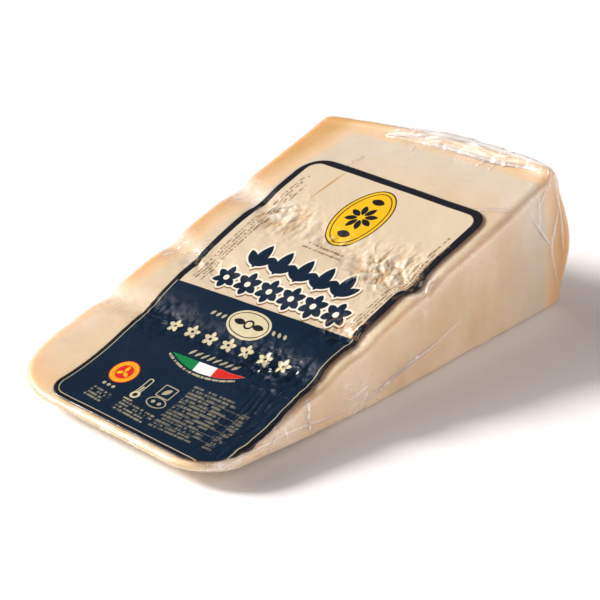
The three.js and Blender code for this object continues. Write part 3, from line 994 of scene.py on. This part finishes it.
def discDistance(place, half, takes):
    flatHalf = vectorCalc("ADD", half, (0, 0, 1))
    share = vectorCalc("LENGTH", vectorCalc("DIVIDE", place, flatHalf))
    square = vectorCalc("MULTIPLY", flatHalf, flatHalf)
    slope = calc("MAXIMUM", vectorCalc("LENGTH", vectorCalc("DIVIDE", place, square)), 0.02)
    return calc("DIVIDE", times(share, minus(share, 1.0)), slope)


def leafDistance(place, half, takes):
    # two arcs that meet in points at the ends of y
    x, y, _ = axes(place)
    wide, long, _ = axes(half)
    radius = arcRadius(long, wide)
    shifted = plus(calc("ABSOLUTE", x), minus(radius, wide))
    return minus(longest(shifted, y), radius)


def ribbonDistance(place, half, takes):
    # under a straight upper edge and over an arc that meets it at both ends
    x, y, _ = axes(place)
    wide, deep, _ = axes(half)
    sag = times(deep, 2.0)
    radius = arcRadius(wide, sag)
    fromMiddle = minus(plus(y, sag), radius)
    arc = minus(longest(x, fromMiddle), radius)
    return calc("MAXIMUM", calc("MAXIMUM", arc, y), minus(takes["Span From"], x))


def textDistance(place, half, takes):
    # rows of fine strokes of uneven height, as small print looks from arm's length
    tree = treeOf(place)
    x, y, _ = axes(place)
    wide, tall, _ = axes(half)
    pitch, radius = takes["Pitch"], takes["Arc"]
    curved = calc("GREATER_THAN", radius, 0.0)
    down = minus(minus(radius, ribbonSag), y)
    arcY = minus(plus(radius, smallPrint["fromArc"]), longest(x, down))
    x = choose(curved, x, times(calc("ARCTAN2", x, down), radius))
    y = choose(curved, y, arcY)
    rows = calc("DIVIDE", plus(y, tall), pitch)
    row = calc("FLOOR", rows)
    inRow = calc("ABSOLUTE", minus(calc("FRACT", rows), 0.5))
    strokes = calc("DIVIDE", x, times(pitch, smallPrint["stroke"]))
    seed = times(row, smallPrint["rowSeed"])
    stroke = addNode(tree, "TexWhiteNoise", {"Vector": joined(calc("FLOOR", strokes), seed)},
                     noise_dimensions="2D").outputs["Value"]
    words = {"Vector": joined(strokes, seed), "Scale": smallPrint["wordScale"], "Detail": 0.0}
    word = addNode(tree, "TexNoise", words, noise_dimensions="2D").outputs["Fac"]
    ends = addNode(tree, "TexWhiteNoise", {"W": row}, noise_dimensions="1D").outputs["Value"]
    shortest = smallPrint["shortest"]
    reach = times(wide, plus(shortest, times(ends, 1 - shortest)))
    ragged = minus(x, minus(times(reach, 2.0), wide))
    gap = times(minus(smallPrint["wordGaps"], word), 3.0)
    inked = minus(smallPrint["missing"], stroke)
    top = plus(smallPrint["half"], times(stroke, smallPrint["uneven"]))
    thin = times(minus(inRow, top), pitch)
    ragged = calc("MAXIMUM", ragged, minus(negative(x), wide))
    bounds = calc("MAXIMUM", minus(calc("ABSOLUTE", y), tall), ragged)
    return calc("MAXIMUM", calc("MAXIMUM", gap, inked), calc("MAXIMUM", bounds, thin))


def repeatGroup():
    # turns a place into its own cell of a row, or of a star round the centre
    takes = {**placing, "Count": ("value", 1.0), "Pitch": ("value", 0.0)}
    group, start, end = newGroup("printRepeat", takes, {"Place": "place"})
    place = turnedPlace(start)
    x, y, _ = axes(place)
    count, pitch = start["Count"], calc("MAXIMUM", start["Pitch"], 0.01)
    last = minus(count, 1.0)
    middle = times(last, 0.5)
    cell = calc("ROUND", plus(calc("DIVIDE", x, pitch), middle))
    cell = calc("MINIMUM", calc("MAXIMUM", cell, 0.0), last)
    rowX = minus(x, times(minus(cell, middle), pitch))
    sector = calc("DIVIDE", 2 * math.pi, count)
    angle = calc("ARCTAN2", y, x)
    nearest = calc("ROUND", calc("DIVIDE", angle, sector))
    angle = minus(angle, times(sector, nearest))
    away = vectorCalc("LENGTH", vectorCalc("MULTIPLY", place, (1, 1, 0)))
    isRow = calc("GREATER_THAN", start["Pitch"], 0.0)
    outX = choose(isRow, times(away, calc("COSINE", angle)), rowX)
    outY = choose(isRow, times(away, calc("SINE", angle)), y)
    feed(end["Place"], joined(outX, outY))
    return group


shapeGroups = {
    "box": shapeGroup("printBox", {"Corner": ("value", 0.0)}, boxDistance),
    "disc": shapeGroup("printDisc", {}, discDistance),
    "leaf": shapeGroup("printLeaf", {}, leafDistance),
    "ribbon": shapeGroup("printRibbon", {"Span From": ("value", -60.0)}, ribbonDistance),
    "text": shapeGroup("printText", {"Pitch": ("value", 1.0), "Arc": ("value", 0.0)}, textDistance),
}
printRepeat = repeatGroup()


def shapeDistance(place, each):
    for repeat in each.get("repeats", []):
        place = useGroup(printRepeat, {
            "Place": place, "Centre": (*repeat["centre"], 0), "Turn": math.radians(repeat["turn"]),
            "Count": float(repeat["count"]), "Pitch": float(repeat["pitch"])})["Place"]
    inputs = {"Place": place, "Centre": (*each["centre"], 0), "Size": (*each["size"], 0),
              "Turn": math.radians(each.get("turn", 0))}
    extras = {"corner": "Corner", "pitch": "Pitch", "arc": "Arc", "span": "Span From"}
    inputs.update({socket: each[name] for name, socket in extras.items() if name in each})
    distance = useGroup(shapeGroups[each["form"]], inputs)["Distance"]
    if "line" in each:
        distance = minus(calc("ABSOLUTE", distance), each["line"] / 2)
    if "grow" in each:
        distance = minus(distance, each["grow"])
    return distance


def stamp(colour, distance, ink, strength=1.0):
    half = printEdge / 2
    return blendColour(remap(distance, half, -half, 0.0, strength), colour, inks[ink])


def inkOf(each):
    return each["ink"], each.get("strength", 1.0)


def makeLabelMaterial():
    material, tree = newMaterial("labelPrint")
    uv = addNode(tree, "UVMap", uv_map="print").outputs[0]
    span = label["uvSpan"]
    place = vectorCalc("MULTIPLY", uv, (span, span, 0))
    across, up, _ = axes(place)
    split = plus(times(across, fieldSplit["rise"]), fieldSplit["height"])
    overSplit = minus(split, up)
    underSplit = negative(overSplit)
    rim = shapeDistance(place, shape("", "box", sheetMiddle, sheetSize, corner=9))
    sandy = remap(overSplit, 0.1, -0.1)
    colour = blendColour(sandy, inks["night"], inks["sand"])
    border = calc("MAXIMUM", negative(plus(rim, borders["onNight"])), underSplit)
    colour = stamp(colour, border, "charcoal")
    keyline = minus(calc("ABSOLUTE", plus(rim, borders["keyline"])), borders["keylineHalf"])
    colour = stamp(colour, calc("MAXIMUM", keyline, underSplit), "wheat", 0.8)
    border = calc("MAXIMUM", negative(plus(rim, borders["onSand"])), overSplit)
    colour = stamp(colour, border, "charcoal")
    for (ink, strength), layer in groupby(labelShapes, inkOf):
        distance, *others = [shapeDistance(place, each) for each in layer]
        for other in others:
            distance = calc("MINIMUM", distance, other)
        colour = stamp(colour, distance, ink, strength)
    crumb, crumple = attribute(tree, "crumb"), attribute(tree, "crumple")
    # painted shade in the crumbs' hollows and painted highlight on their tops, on the sand field
    valleyShade = times(remap(crumb, -0.05, -0.35, 0.0, 0.65), sandy)
    colour = blendColour(valleyShade, colour, inks["amber"])
    peak = times(remap(crumb, 0.12, 0.5, 0.0, 0.75), sandy)
    colour = blendColour(peak, colour, inks["crumb"])
    objectPlace = addNode(tree, "TexCoord").outputs["Object"]
    wrinkles = useGroup(wrinkleGroup, {
        "Place": objectPlace, "Scale": 66.0, "Crumple": crumple, "Calm": 0.07})["Height"]
    bump = addNode(tree, "Bump", {
        "Height": wrinkles, "Strength": 0.9, "Distance": filmLook["wrinkleDepth"]}).outputs[0]
    surface = addNode(tree, "BsdfPrincipled", {
        "Base Color": colour, "Roughness": 0.3, "Normal": bump, "Specular IOR Level": 0.2,
        "Coat Weight": 0.35, "Coat Roughness": 0.05, "Coat Normal": bump})
    addNode(tree, "OutputMaterial", {"Surface": surface.outputs[0]})
    return material


labelPiece = makePiece("labelSheet", makeLabelMesh(), makeLabelMaterial())
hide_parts("label")
print("label made")

studio = {
    "floor": (0.93, 0.93, 0.93),
    "keyFrom": Vector((-0.81, 1.613, 1)),
    "keyStrength": 4.5,
    "keyAngle": math.radians(16),
    "fillColour": (1, 0.89, 0.865),
    "fill": 0.04,
    "lobes": [  # from, where the lobe starts, strength
        (Vector((-0.25, -0.97, -0.4)), 0.35, 1.5),
        (Vector((0.75, -0.65, 0.2)), 0.85, 2.8),
        (Vector((-0.1, -0.75, 0.65)), 0.7, 0.5),
        (Vector((-0.81, 1.613, 1)), 0.78, 2.6),
    ],
}


def makeStudio():
    bm = bmesh.new()
    bmesh.ops.create_grid(bm, x_segments=1, y_segments=1, size=4)
    mesh = bpy.data.meshes.new("floor")
    bm.to_mesh(mesh)
    bm.free()
    floor = newObject("floor", mesh)
    material, tree = newMaterial("paleFloor")
    surface = addNode(tree, "BsdfDiffuse", {"Color": studio["floor"]})
    addNode(tree, "OutputMaterial", {"Surface": surface.outputs[0]})
    mesh.materials.append(material)
    key = bpy.data.lights.new("key", "SUN")
    key.energy = studio["keyStrength"]
    key.angle = studio["keyAngle"]
    keyObject = newObject("key", key)
    keyObject.rotation_euler = studio["keyFrom"].to_track_quat("Z", "Y").to_euler()
    world = bpy.data.worlds.new("studio")
    world.use_nodes = True
    tree = world.node_tree
    background = tree.nodes["Background"]
    feed(background.inputs["Color"], studio["fillColour"])
    look = addNode(tree, "TexCoord").outputs["Generated"]
    strength = studio["fill"]
    for source, start, peak in studio["lobes"]:
        facing = vectorCalc("DOT_PRODUCT", look, source.normalized())
        strength = plus(remap(facing, start, 1.0, 0.0, peak), strength)
    feed(background.inputs["Strength"], strength)
    bpy.context.scene.world = world
    bpy.context.scene.view_settings.view_transform = "Standard"


# The photo's view: place in mm, and focal length in pixels of its frame
shot = {
    "focal": 1943.28,
    "frame": 600,
    "sensor": 36,
    "place": Vector((-386.403, -491.011, 370.422)),
    "right": Vector((0.69437262, -0.71920485, -0.02431137)),
    "up": Vector((0.33958737, 0.29770255, 0.89221836)),
    "forward": Vector((0.63445022, 0.62778784, -0.45094939)),
}


def makeCamera():
    data = bpy.data.cameras.new("camera")
    data.lens = shot["focal"] / shot["frame"] * shot["sensor"]
    data.sensor_width = shot["sensor"]
    data.clip_end = 20
    camera = newObject("camera", data)
    turn = Matrix((shot["right"], shot["up"], -shot["forward"])).transposed()
    camera.matrix_world = Matrix.Translation((shot["place"] + origin) * mm) @ turn.to_4x4()
    bpy.context.scene.camera = camera


makeStudio()
makeCamera()
print("studio made")

bpy.context.view_layer.update()
